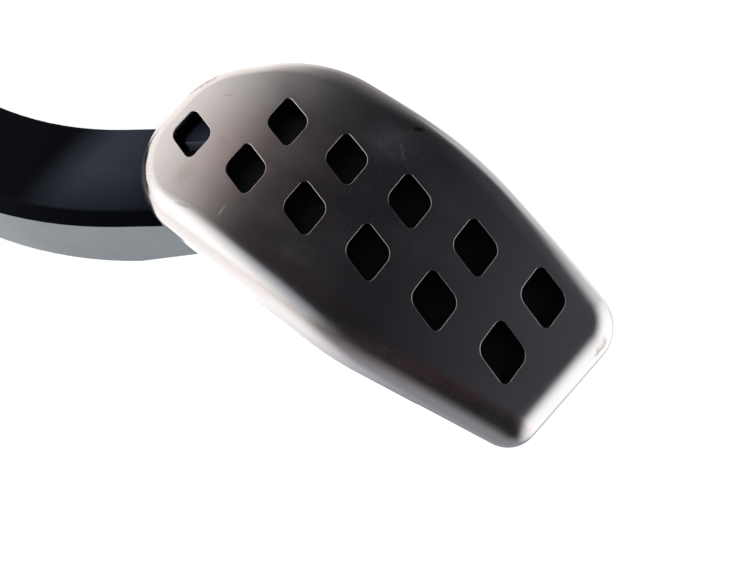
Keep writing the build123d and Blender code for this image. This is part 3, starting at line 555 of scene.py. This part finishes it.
def pad_steel_material():
    """Satin stainless pressing with the smudges, scratches and stains on it, and painted light: a sheen, warm and
    reddish reflections and shade on the lower hole walls.
    """
    material, tree, shader, place = new_material("satin stainless pad")
    pad = pedal_space(tree, place, PAD_CENTRE)
    metres = stretch(tree, pad, (MM, MM, MM))
    face = use(tree, DRAWN, Vector=metres, Color=opaque(STEEL), Lines=2600.0, Roughness=0.16, Contrast=0.35)
    colour = face["Color"]
    gloss = face["Roughness"]
    # Real marks, with a painted highlight and a painted reddish reflection among them
    for centre, size, turn, stain, ragged, strength in PAD_MARKS_AND_PAINTED_LIGHT.values():
        mask = patch_mask(tree, pad, centre, size, turn, ragged, strength)
        colour = blend_colours(tree, mask, colour, opaque(stain))
        gloss = maths(tree, "ADD", gloss, product(tree, mask, PATCH_DULLS))
    # Painted reflection: warm tints on the upper face and the left of the steel
    for centre, size, turn, tint, ragged, strength in PAD_PAINTED_REFLECTION_TINTS.values():
        mask = patch_mask(tree, pad, centre, size, turn, ragged, strength)
        colour = blend_colours(tree, mask, colour, opaque(tint))
    # Painted shade: the walls of the lower holes are darkened
    colour = blend_colours(tree, hole_wall_shade(tree, pad), colour, opaque(HOLE_WALL_SHADE))
    smear = noise(tree, stretch(tree, pad, SMEAR_STRETCH))
    gloss = maths(tree, "ADD", gloss, remap(tree, smear, *SMEAR_RANGE, to_low=-0.03, to_high=0.04))
    finish_with(tree, shader, colour, gloss)
    shader.inputs["Metallic"].default_value = 1.0
    bump(tree, shader, face["Height"], strength=0.02, distance=0.00002)
    return material


def arm_material():
    """Satin black arm with painted light: painted shade on its lower front, a painted grey reflection down its
    outer side and a painted sheen on the front by the pad.
    """
    material, tree, shader, place = new_material("satin black arm")
    along = pedal_space(tree, place, HINGE)
    spot = split(tree, along)
    # Painted shade: a blacker colour on the front face below a height
    shade_front = remap(tree, spot["Z"], *ARM_SHADE_FRONT_FADE)
    deep = product(tree, shade_front, remap(tree, spot["Y"], *ARM_SHADE_HEIGHT_FADE, smooth=True))
    black = blend_colours(tree, deep, opaque(ARM_BLACK), opaque(ARM_PAINTED_SHADE_BLACK))
    face = use(tree, GRAIN, Vector=place, Color=black, Grain=2600.0, Roughness=0.3)
    below = maths(tree, "MAXIMUM", maths(tree, "SUBTRACT", ARM_BEND_FROM, spot["Y"]), 0.0)
    middle = maths(tree, "DIVIDE", product(tree, below, below), ARM_BEND_ACROSS)
    across = maths(tree, "SUBTRACT", middle, spot["X"])
    # Mottle that breaks up the painted sheen and the painted side reflection
    mottle = noise(tree, stretch(tree, along, MOTTLE_STRETCH), detail=5.0)
    mottled = remap(tree, mottle, *CLOUD_RANGE, to_low=0.8)
    ragged_height = maths(tree, "ADD", spot["Y"], product(tree, mottled, SIDE_REFLECTION_RAGGED))
    lower = remap(tree, ragged_height, *SIDE_REFLECTION_HEIGHT_FADE, to_low=SIDE_REFLECTION_LEAST, smooth=True)
    facing = split(tree, add(tree, "ShaderNodeNewGeometry").outputs["Normal"])["X"]
    outer = remap(tree, across, *SIDE_REFLECTION_ACROSS_FADE)
    side_reflection = product(tree, outer, lower, remap(tree, facing, *SIDE_REFLECTION_FACING_FADE))
    # Painted sheen on the front of the arm by the pad, mottled
    pale = remap(tree, spot["Y"], *SHEEN_HEIGHT_FADE, smooth=True)
    pale = product(tree, pale, remap(tree, spot["Y"], *SHEEN_FOOT_FADE, to_low=0.5))
    pale = product(tree, pale, remap(tree, across, *SHEEN_ACROSS, to_low=1.0, to_high=0.4))
    pale = product(tree, pale, remap(tree, spot["Z"], *SHEEN_FRONT_FADE), mottled)
    colour = blend_colours(tree, pale, face["Color"], opaque(ARM_PAINTED_SHEEN))
    # Painted reflection: light grey on the outer side faces of the arm
    colour = blend_colours(tree, product(tree, side_reflection, mottled), colour, opaque(ARM_PAINTED_SIDE_REFLECTION))
    gloss = maths(tree, "ADD", face["Roughness"], product(tree, side_reflection, SIDE_REFLECTION_DULLS))
    finish_with(tree, shader, colour, gloss)
    shader.inputs["Specular IOR Level"].default_value = 0.06
    bump(tree, shader, face["Height"], strength=0.015, distance=0.00001)
    return material


def carrier_material():
    """Black pad carrier, with painted light on the floor and one wall of the pocket under the first hole."""
    material, tree, shader, place = new_material("black pad carrier")
    pad = pedal_space(tree, place, PAD_CENTRE)
    height = split(tree, pad)["Y"]
    # Painted light: the pocket under the first hole is made paler where light would fall, palest on its wall
    lit_patch = remap(tree, height, *LIT_HEIGHT_FADE, smooth=True)
    lit_patch = product(tree, lit_patch, remap(tree, height, *LIT_TOP_FADE))
    pocket_along = vectors(tree, "DOT_PRODUCT", pad, POCKET_ALONG)["Value"]
    lit_patch = product(tree, lit_patch, remap(tree, pocket_along, *POCKET_ALONG_FADE))
    pocket_out = vectors(tree, "DOT_PRODUCT", pad, POCKET_OUT)["Value"]
    on_wall = remap(tree, pocket_out, *POCKET_WALL_FADE)
    pocket = blend_colours(tree, on_wall, opaque(CARRIER_LIT_FLOOR), opaque(CARRIER_LIT_WALL))
    colour = blend_colours(tree, lit_patch, opaque(CARRIER_BLACK), pocket)
    face = use(tree, GRAIN, Vector=place, Color=colour, Grain=2200.0, Roughness=0.5)
    finish_with(tree, shader, face["Color"], face["Roughness"])
    shader.inputs["Specular IOR Level"].default_value = 0.2
    bump(tree, shader, face["Height"], strength=0.25, distance=0.00004)
    return material


def board_material():
    """Green laminate with copper runs under its coat."""
    material, tree, shader, place = new_material("coated circuit board")
    first_green, second_green = BOARD_GREENS
    colours = {"Color1": opaque(first_green), "Color2": opaque(second_green), "Mortar": opaque(BOARD_RUNS)}
    runs = add(tree, "ShaderNodeTexBrick", {"Vector": place, "Scale": 260.0, "Mortar Size": 0.05, **colours})
    weave = noise(tree, place, BOARD_THREADS, detail=2.0)
    threads = remap(tree, weave, *WEAVE_RANGE, to_high=0.25)
    colour = blend_colours(tree, threads, runs.outputs["Color"], opaque(BOARD_WEAVE))
    finish_with(tree, shader, colour, remap(tree, weave, *CLOUD_RANGE, to_low=0.28, to_high=0.42))
    bump(tree, shader, runs.outputs["Fac"], strength=0.2, distance=0.00005)
    return material


FINISHES = {
    "arm_plastic": arm_material(),
    "carrier_plastic": carrier_material(),
    "pad_steel": pad_steel_material(),
    "board_laminate": board_material(),
}
FINISHES.update((slot, moulded_plastic(*finish)) for slot, finish in MOULDED.items())
FINISHES.update((slot, worked_metal(*finish)) for slot, finish in WORKED.items())

for piece in frame["record"]["subparts"]:
    node = nodes[piece["node"]]
    node.data.materials.clear()
    node.data.materials.append(FINISHES[piece["material_slot"]])


def deselect():
    """Nothing selected and no active object."""
    bpy.ops.object.select_all(action="DESELECT")
    bpy.context.view_layer.objects.active = None


def select_end(low, high):
    """Selects the open edge loops whose edges lie between two distances along x."""
    bpy.ops.mesh.select_mode(type="EDGE")
    bpy.ops.mesh.select_all(action="DESELECT")
    bpy.ops.mesh.select_non_manifold(extend=False)
    bpy.ops.object.mode_set(mode="OBJECT")
    mesh = bpy.context.object.data
    for edge in mesh.edges:
        x = sum(mesh.vertices[index].co.x for index in edge.vertices) / 2
        edge.select = edge.select and low <= x <= high
    for vertex in mesh.vertices:
        vertex.select = False
    for polygon in mesh.polygons:
        polygon.select = False
    bpy.ops.object.mode_set(mode="EDIT")


def face_outwards():
    """In edit mode, turns every face of the mesh outwards."""
    bpy.ops.mesh.select_all(action="SELECT")
    bpy.ops.mesh.normals_make_consistent(inside=False)


def coil_spring():
    """Right-hand return spring: a wire section screwed round the hub, with a leg drawn out of each end."""
    deselect()
    bpy.ops.mesh.primitive_circle_add(vertices=WIRE_SIDES, radius=WIRE_RADIUS,
                                      location=(COIL_OUTER, 0.0, -COIL_RADIUS), rotation=(pi / 2, 0.0, 0.0))
    spring = bpy.context.object
    spring.name = "coil_spring_right"
    bpy.ops.object.transform_apply(location=True, rotation=True, scale=True)
    winding = spring.modifiers.new("winding", "SCREW")
    winding.axis = "X"
    winding.angle = -2 * pi
    winding.screw_offset = -COIL_PITCH
    winding.iterations = COILS
    winding.steps = winding.render_steps = COIL_STEPS
    bpy.ops.object.modifier_apply(modifier=winding.name)
    tilt = COIL_PITCH / (2 * pi * COIL_RADIUS)
    reach = WIRE_RADIUS * END_SLACK
    bpy.ops.object.mode_set(mode="EDIT")
    bpy.ops.mesh.select_all(action="SELECT")
    bpy.ops.mesh.remove_doubles(threshold=WELD)
    for place, hand, leg in ((COIL_OUTER, 1.0, FIXED_LEG), (COIL_INNER, -1.0, MOVING_LEG)):
        select_end(place - reach, place + reach)
        drawn_out = {"value": (hand * leg * tilt, hand * leg, 0.0)}
        bpy.ops.mesh.extrude_region_move(TRANSFORM_OT_translate=drawn_out)
        bpy.ops.mesh.edge_face_add()
    face_outwards()
    bpy.ops.object.mode_set(mode="OBJECT")
    bpy.ops.object.shade_smooth_by_angle(angle=SMOOTH_BELOW)
    return spring


def mirrored(piece, name):
    """Copy of a piece with its own mesh, turned over to the other hand."""
    deselect()
    piece.select_set(True)
    bpy.context.view_layer.objects.active = piece
    bpy.ops.object.duplicate(linked=False)
    other = bpy.context.object
    other.name = name
    other.scale.x = -1.0
    bpy.ops.object.transform_apply(location=False, rotation=False, scale=True)
    bpy.ops.object.mode_set(mode="EDIT")
    face_outwards()
    bpy.ops.object.mode_set(mode="OBJECT")
    return other


def set_springs():
    """Both return springs, wound between the bracket and the pedal."""
    right = coil_spring()
    left = mirrored(right, "coil_spring_left")
    pedal_place = Matrix.Translation(HINGE) @ PEDAL_TURN.to_4x4()
    for spring, hand, node in ((right, 1.0, "return_spring_right"), (left, -1.0, "return_spring_left")):
        spring.data.transform(pedal_place)
        spring.data.materials.append(FINISHES["spring_steel"])
        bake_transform(spring)
        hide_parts(node)


def crown_at(spot):
    """Point on the pad's doubly curved face over a spot, and the face's direction there."""
    across = sqrt(CROWN_RADIUS**2 - spot.x**2)
    reach = FACE_RADIUS - CROWN_RADIUS + across
    rise = sqrt(reach**2 - spot.y**2)
    facing = Vector((spot.x / across, spot.y / reach, rise / reach)).normalized()
    return Vector((spot.x, spot.y, rise - FACE_RADIUS)), facing


def rounded_loop(corners, step):
    """Spots round a polygon with rounded corners, anticlockwise, each with its outward direction."""
    arcs = []
    for index, (x, y, radius) in enumerate(corners):
        corner = Vector((x, y))
        before = (Vector(corners[index - 1][:2]) - corner).normalized()
        after = (Vector(corners[(index + 1) % len(corners)][:2]) - corner).normalized()
        half = acos(before.dot(after)) / 2
        centre = corner + (before + after).normalized() * radius / sin(half)
        first = corner + before * radius / tan(half) - centre
        last = corner + after * radius / tan(half) - centre
        start = atan2(first.y, first.x)
        arcs.append((centre, radius, start, (atan2(last.y, last.x) - start) % (2 * pi)))
    loop = []
    for index, (centre, radius, start, sweep) in enumerate(arcs):
        parts = max(CORNER_PARTS, ceil(sweep * radius / step))
        for part in range(parts + 1):
            angle = start + sweep * part / parts
            out = Vector((cos(angle), sin(angle)))
            loop.append((centre + radius * out, out))
        beyond, far_radius, far_start, _ = arcs[(index + 1) % len(arcs)]
        here, out = loop[-1]
        there = beyond + far_radius * Vector((cos(far_start), sin(far_start)))
        parts = max(1, ceil((there - here).length / step))
        loop.extend((here.lerp(there, part / parts), out) for part in range(1, parts))
    return loop


def lip_section(spot, out, radius):
    """Points and directions from the crowned face over a hole's lip to its upright wall at a spot."""
    middle = spot - radius * out
    touch = middle
    for _ in range(LIP_TRIES):
        touch = middle + radius * crown_at(touch)[1].to_2d()
    top, facing = crown_at(touch)
    centre = Vector((*middle, top.z - radius * facing.z))
    side = Vector((*out, 0.0))
    ways = [facing.slerp(side, step / LIP_STEPS) for step in range(LIP_STEPS + 1)]
    return [(centre + radius * way, way) for way in ways]


def rim_section(spot, out):
    """Points and directions from the crowned face over the rim to the upright skirt at a spot."""
    part = min(max((SOFT_FROM - spot.y) / (SOFT_FROM - SOFT_FULL), 0.0), 1.0)
    soft = part * part * (3 - 2 * part)
    side = Vector((*out, 0.0))
    touch = spot - PAD_ROLL * out
    for _ in range(RIM_TRIES):
        top, facing = crown_at(touch)
        whole = acos(facing.dot(side))
        points = [top]
        for step in range(ROLL_STEPS):
            angle = whole * (step + 0.5) / ROLL_STEPS
            along = (cos(angle) * side - cos(whole - angle) * facing) / sin(whole)
            radius = (PAD_ROLL - soft * ROLL_TIGHTER) * (1 + soft * ROLL_SOFTER * (1 - angle / whole) ** 2)
            points.append(points[-1] + radius * whole / ROLL_STEPS * along)
        touch = touch + spot - points[-1].to_2d()
    return [(point, facing.slerp(side, step / ROLL_STEPS)) for step, point in enumerate(points)]


def hole_corners(middle_x, middle_y):
    """Corners of one leaning hole."""
    half, tall = HOLE_WIDE / 2, HOLE_TALL / 2
    shift = tall * tan(HOLE_LEAN)
    places = ((-half - shift, -tall), (half - shift, -tall), (half + shift, tall), (-half + shift, tall))
    return [(middle_x + x, middle_y + y, radius) for (x, y), radius in zip(places, HOLE_ROUNDS)]


def hole_middles():
    """Middles of the holes: the left column has one more at the top."""
    left = [(-COLUMN_GAP / 2, row * HOLE_PITCH) for row in HOLE_ROWS]
    return left + [(COLUMN_GAP / 2, row * HOLE_PITCH) for row in HOLE_ROWS[:-1]]


def in_hole(spot):
    """True over one of the holes."""
    for x, y in hole_middles():
        along = spot.y - y
        across = spot.x - x - along * tan(HOLE_LEAN)
        if abs(along) < HOLE_TALL / 2 and abs(across) < HOLE_WIDE / 2:
            return True
    return False


def fill_spots(kept_clear):
    """Evenly spread spots for the face, clear of its edges."""
    tree = KDTree(len(kept_clear))
    for index, spot in enumerate(kept_clear):
        tree.insert((*spot, 0.0), index)
    tree.balance()
    spots = []
    for row in FACE_ROWS:
        for column in FACE_COLUMNS:
            spot = Vector(((column + row % 2 / 2) * FACE_STEP, row * FACE_STEP * ROW_SPACING))
            if tree.find((*spot, 0.0))[2] > FACE_STEP * CLEAR_OF_EDGE and not in_hole(spot):
                spots.append(spot)
    return spots


class Sheet:
    """Points, their directions and faces of the pressing as it is drawn, in millimetres."""

    def __init__(self):
        self.points = []
        self.ways = []
        self.faces = []
        self.flat = set()

    def ring(self, section):
        """Adds a run of points with their directions; gives their numbers."""
        start = len(self.points)
        self.points.extend(point for point, _ in section)
        self.ways.extend(way for _, way in section)
        return list(range(start, len(self.points)))

    def stitch(self, first, second, turned=False):
        """Four-sided faces between two closed runs of the same length."""
        for index in range(len(first)):
            after = (index + 1) % len(first)
            quad = (first[index], second[index], second[after], first[after])
            self.faces.append(quad[::-1] if turned else quad)

    def inner(self, numbers):
        """Copies of points one sheet thickness inside; gives their numbers."""
        section = [(self.points[n] - SHEET * self.ways[n], -self.ways[n]) for n in numbers]
        return self.ring(section)

    def lid(self, numbers):
        """One flat face over a run of points."""
        self.flat.add(len(self.faces))
        self.faces.append(tuple(numbers))


def press_face(sheet, rim, holes):
    """Crowned face and its lining; gives their edge points' numbers, for the rim and then each hole."""
    loops = [rim] + holes
    spots, edges = [], []
    for loop in loops:
        start = len(spots)
        spots.extend(section[0][0].to_2d() for section in loop)
        edges.extend((start + index, start + (index + 1) % len(loop)) for index in range(len(loop)))
    spots.extend(fill_spots(spots))
    laid, _, triangles, origins, _, _ = delaunay_2d_cdt(spots, edges, [], INSIDE_ONLY, SAME_SPOT)
    owner = {}
    start = len(rim)
    for hole_number, hole in enumerate(holes):
        owner.update((origin, hole_number) for origin in range(start, start + len(hole)))
        start += len(hole)
    ring_of = [owner.get(origin[0]) for origin in origins]
    triangles = [t for t in triangles if ring_of[t[0]] is None or len({ring_of[number] for number in t}) > 1]
    used = sorted({number for triangle in triangles for number in triangle})
    numbers = dict(zip(used, sheet.ring([crown_at(laid[number]) for number in used])))
    for triangle in triangles:
        sheet.faces.append(tuple(numbers[number] for number in triangle))
    place = {}
    for number in used:
        for origin in origins[number]:
            place[origin] = numbers[number]
    lining = dict(zip(numbers.values(), sheet.inner(numbers.values())))
    for triangle in triangles:
        sheet.faces.append(tuple(lining[numbers[number]] for number in reversed(triangle)))
    outside, inside = [], []
    start = 0
    for loop in loops:
        outside.append([place[number] for number in range(start, start + len(loop))])
        inside.append([lining[number] for number in outside[-1]])
        start += len(loop)
    return outside, inside


def press_skirt(sheet, sections, outside, inside):
    """Rolled rim, upright skirt and its rounded bottom edge."""
    outer, inner = outside, inside
    for step in range(1, ROLL_STEPS + 1):
        next_outer = sheet.ring([section[step] for section in sections])
        next_inner = sheet.inner(next_outer)
        sheet.stitch(outer, next_outer)
        sheet.stitch(inner, next_inner, turned=True)
        outer, inner = next_outer, next_inner
    half = SHEET / 2
    for step in range(FOLD_STEPS + 1):
        angle = pi * step / FOLD_STEPS
        ring = []
        for section in sections:
            point, way = section[-1]
            centre = Vector((point.x, point.y, half - SKIRT_END)) - half * way
            turned = cos(angle) * way - sin(angle) * UP
            ring.append((centre + half * turned, turned))
        numbers = sheet.ring(ring)
        sheet.stitch(outer, numbers)
        outer = numbers
    sheet.stitch(outer, inner)


def press_hole(sheet, sections, outside, inside):
    """Lip rolled into one hole, and its wall through the sheet."""
    outer = outside
    for step in range(1, LIP_STEPS + 1):
        numbers = sheet.ring([section[step] for section in sections])
        sheet.stitch(outer, numbers, turned=True)
        outer = numbers
    wall = []
    for section in sections:
        point, way = section[-1]
        wall.append((Vector((point.x, point.y, crown_at(point.to_2d())[0].z - SHEET)), way))
    numbers = sheet.ring(wall)
    sheet.stitch(outer, numbers, turned=True)
    sheet.stitch(numbers, inside, turned=True)


def tab_section(spot, out):
    """Closed section of a clinch tab: down from the skirt, round the fold and in under the carrier."""
    half = SHEET / 2
    bend = Vector((-half - TAB_FOLD, half + TAB_FOLD - PAD_DEPTH))
    tip = Vector((half - TAB_REACH, half - PAD_DEPTH))
    turns = [step / FOLD_STEPS for step in range(FOLD_STEPS + 1)]
    drawn = [(Vector((0.0, TAB_LAP - SKIRT_END)), Vector((1.0, 0.0)))]
    for turn in turns:
        way = Vector((cos(pi / 2 * turn), -sin(pi / 2 * turn)))
        drawn.append((bend + (TAB_FOLD + half) * way, way))
    for turn in turns:
        way = Vector((-sin(pi * turn), -cos(pi * turn)))
        drawn.append((tip + half * way, way))
    for turn in turns:
        way = Vector((sin(pi / 2 * turn), -cos(pi / 2 * turn)))
        drawn.append((bend + (TAB_FOLD - half) * way, -way))
    drawn.append((Vector((-SHEET, TAB_LAP - SKIRT_END)), Vector((-1.0, 0.0))))
    section = []
    for point, way in drawn:
        flat = spot + point.x * out
        section.append((Vector((*flat, point.y)), Vector((*(way.x * out), way.y))))
    return section


def is_tab(spot):
    """True where the skirt is left long and folded under."""
    beside = SIDE_TABS[0] <= spot.y <= SIDE_TABS[1]
    over = spot.y > END_TABS_BEYOND and TOP_TAB[0] <= spot.x <= TOP_TAB[1]
    under = spot.y < -END_TABS_BEYOND and FOOT_TAB[0] <= spot.x <= FOOT_TAB[1]
    return beside or over or under


def press_tabs(sheet, outline):
    """Clinch tabs along the parts of the outline that have them."""
    first = next(index for index, (spot, _) in enumerate(outline) if not is_tab(spot))
    turned = outline[first:] + outline[:first]
    last = None
    for spot, out in turned:
        if not is_tab(spot):
            if last:
                sheet.lid(last)
            last = None
            continue
        numbers = sheet.ring(tab_section(spot, out))
        if last:
            sheet.stitch(last, numbers, turned=True)
        else:
            sheet.lid(reversed(numbers))
        last = numbers
    if last:
        sheet.lid(last)


def set_pad_pressing():
    """Steel pad drawn point by point with its true directions, because its polish shows every facet."""
    outline = rounded_loop(PAD_CORNERS, RIM_STEP)
    rim = [rim_section(spot, out) for spot, out in outline]
    holes = []
    for middle in hole_middles():
        loop = rounded_loop(hole_corners(*middle), HOLE_STEP)
        lean = LIP_LEAN - LIP_LEAN_RISE * middle[1]
        holes.append([lip_section(spot, -out, HOLE_LIP * (1 - lean * out.x)) for spot, out in loop])
    sheet = Sheet()
    outside, inside = press_face(sheet, rim, holes)
    press_skirt(sheet, rim, outside[0], inside[0])
    for hole, outer, inner in zip(holes, outside[1:], inside[1:]):
        press_hole(sheet, hole, outer, inner)
    press_tabs(sheet, outline)
    mesh = bpy.data.meshes.new("pad_pressing")
    mesh.from_pydata([PAD_CENTRE + PEDAL_TURN @ (point * MM) for point in sheet.points], [], sheet.faces)
    mesh.polygons.foreach_set("use_smooth", [True] * len(sheet.faces))
    ways = []
    for polygon in mesh.polygons:
        flat = polygon.index in sheet.flat
        for number in polygon.vertices:
            ways.append(polygon.normal if flat else PEDAL_TURN @ sheet.ways[number])
    mesh.normals_split_custom_set(ways)
    pressing = bpy.data.objects.new("pad_pressing", mesh)
    bpy.context.scene.collection.objects.link(pressing)
    mesh.materials.append(FINISHES["pad_steel"])
    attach(pressing, "pedal")
    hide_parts("pad_cover")


def set_floor():
    """Plain pale floor below the pedal."""
    deselect()
    height = cad_box[0].z - FLOOR_BELOW
    bpy.ops.mesh.primitive_plane_add(size=2 * FLOOR_HALF, location=(0.0, 0.0, height))
    floor = bpy.context.object
    floor.name = "floor"
    material, tree, shader, place = new_material("pale floor")
    low, high = FLOOR_SHADES
    clouds = noise(tree, place, FLOOR_CLOUDS, detail=3.0)
    feed(tree, shader.inputs["Base Color"], remap(tree, clouds, *CLOUD_RANGE, to_low=low, to_high=high))
    shader.inputs["Roughness"].default_value = 0.9
    shader.inputs["Specular IOR Level"].default_value = 0.1
    floor.data.materials.append(material)
    floor.visible_glossy = False


def soft_panel(tree, way, towards, low, high, light):
    """Light that fades in from one angle off a direction to another, given as cosines."""
    facing = vectors(tree, "DOT_PRODUCT", way, towards)["Value"]
    return scaled(tree, light, remap(tree, facing, low, high, smooth=True))


def set_studio_light():
    """Even white light all round; shiny faces mirror soft panels in a dark room instead."""
    world = bpy.data.worlds.new("studio")
    bpy.context.scene.world = world
    world.use_nodes = True
    tree = world.node_tree
    sky = tree.nodes["Background"]
    way = add(tree, "ShaderNodeTexCoord").outputs["Generated"]
    mirrored_light = DARK_ROOM
    for panel in STUDIO_PANELS.values():
        light = soft_panel(tree, way, *panel)
        mirrored_light = vectors(tree, "ADD", light, mirrored_light)["Vector"]
    ray = add(tree, "ShaderNodeLightPath").outputs
    plain = maths(tree, "ADD", ray["Is Camera Ray"], product(tree, ray["Is Diffuse Ray"], ROOM_LIGHT))
    even = add(tree, "ShaderNodeCombineColor", {0: plain, 1: plain, 2: plain}).outputs["Color"]
    feed(tree, sky.inputs["Color"], blend_colours(tree, ray["Is Glossy Ray"], even, mirrored_light))
    sky.inputs["Strength"].default_value = 1.0


def set_camera():
    """Camera at the photograph's angle on the pad."""
    data = bpy.data.cameras.new("camera")
    data.sensor_fit = "HORIZONTAL"
    data.sensor_width = SENSOR_MM
    data.lens = SENSOR_MM * FOCAL_PIXELS / IMAGE_WIDE
    data.clip_start = NEAREST_SEEN
    camera = bpy.data.objects.new("camera", data)
    bpy.context.scene.collection.objects.link(camera)
    axes = Matrix((CAMERA_RIGHT, CAMERA_UP, CAMERA_BACK)).transposed()
    turn = (PEDAL_TURN @ axes).to_4x4()
    camera.matrix_world = Matrix.Translation(PAD_CENTRE + PEDAL_TURN @ (CAMERA_FROM_MM * MM)) @ turn
    bpy.context.scene.camera = camera


set_springs()
set_pad_pressing()
set_floor()
set_studio_light()
set_camera()
bpy.context.scene.view_settings.view_transform = "Standard"
